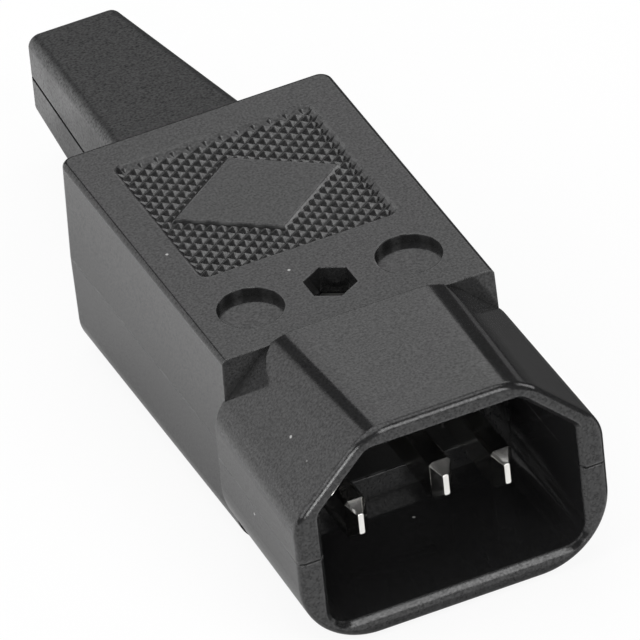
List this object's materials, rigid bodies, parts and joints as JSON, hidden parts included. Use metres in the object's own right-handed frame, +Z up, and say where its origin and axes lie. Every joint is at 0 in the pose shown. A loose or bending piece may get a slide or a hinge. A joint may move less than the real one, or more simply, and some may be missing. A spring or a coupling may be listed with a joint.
{
  "type": "rewireable cord plug with male inlet",
  "caption": "Rewireable cord plug with a shrouded male inlet, two moulded half shells, knurled grip panel, tapered soft cable boot and screwed contacts inside",
  "frame": {"origin": "on the table under the middle of the whole part: the underside of the lower shell is at zero height", "axes": "X runs across the plug, Y runs along the cord from the socket rim at the minus end to the boot tip at the plus end, Z points up"},
  "size_m": [0.0294, 0.0808, 0.0216],
  "materials": {
    "shell_plastic": "satin moulded, dark grey to black",
    "carrier_plastic": "moulded, black",
    "contact_metal": "bright nickel plated",
    "screw_steel": "zinc plated",
    "boot_rubber": "fine grained, matt"
  },
  "bodies": {
    "root": {"upper_shell": "shell_plastic", "lower_shell": "shell_plastic", "contact_carrier": "carrier_plastic", "line_pin": "contact_metal", "neutral_pin": "contact_metal", "earth_pin": "contact_metal", "line_terminal_screw": "screw_steel", "neutral_terminal_screw": "screw_steel", "earth_terminal_screw": "screw_steel", "cord_clamp": "carrier_plastic", "clamp_screw_left": "screw_steel", "clamp_screw_right": "screw_steel", "housing_screw": "screw_steel", "housing_nut": "screw_steel", "cable_boot": "boot_rubber"}
  },
  "joints": []
}
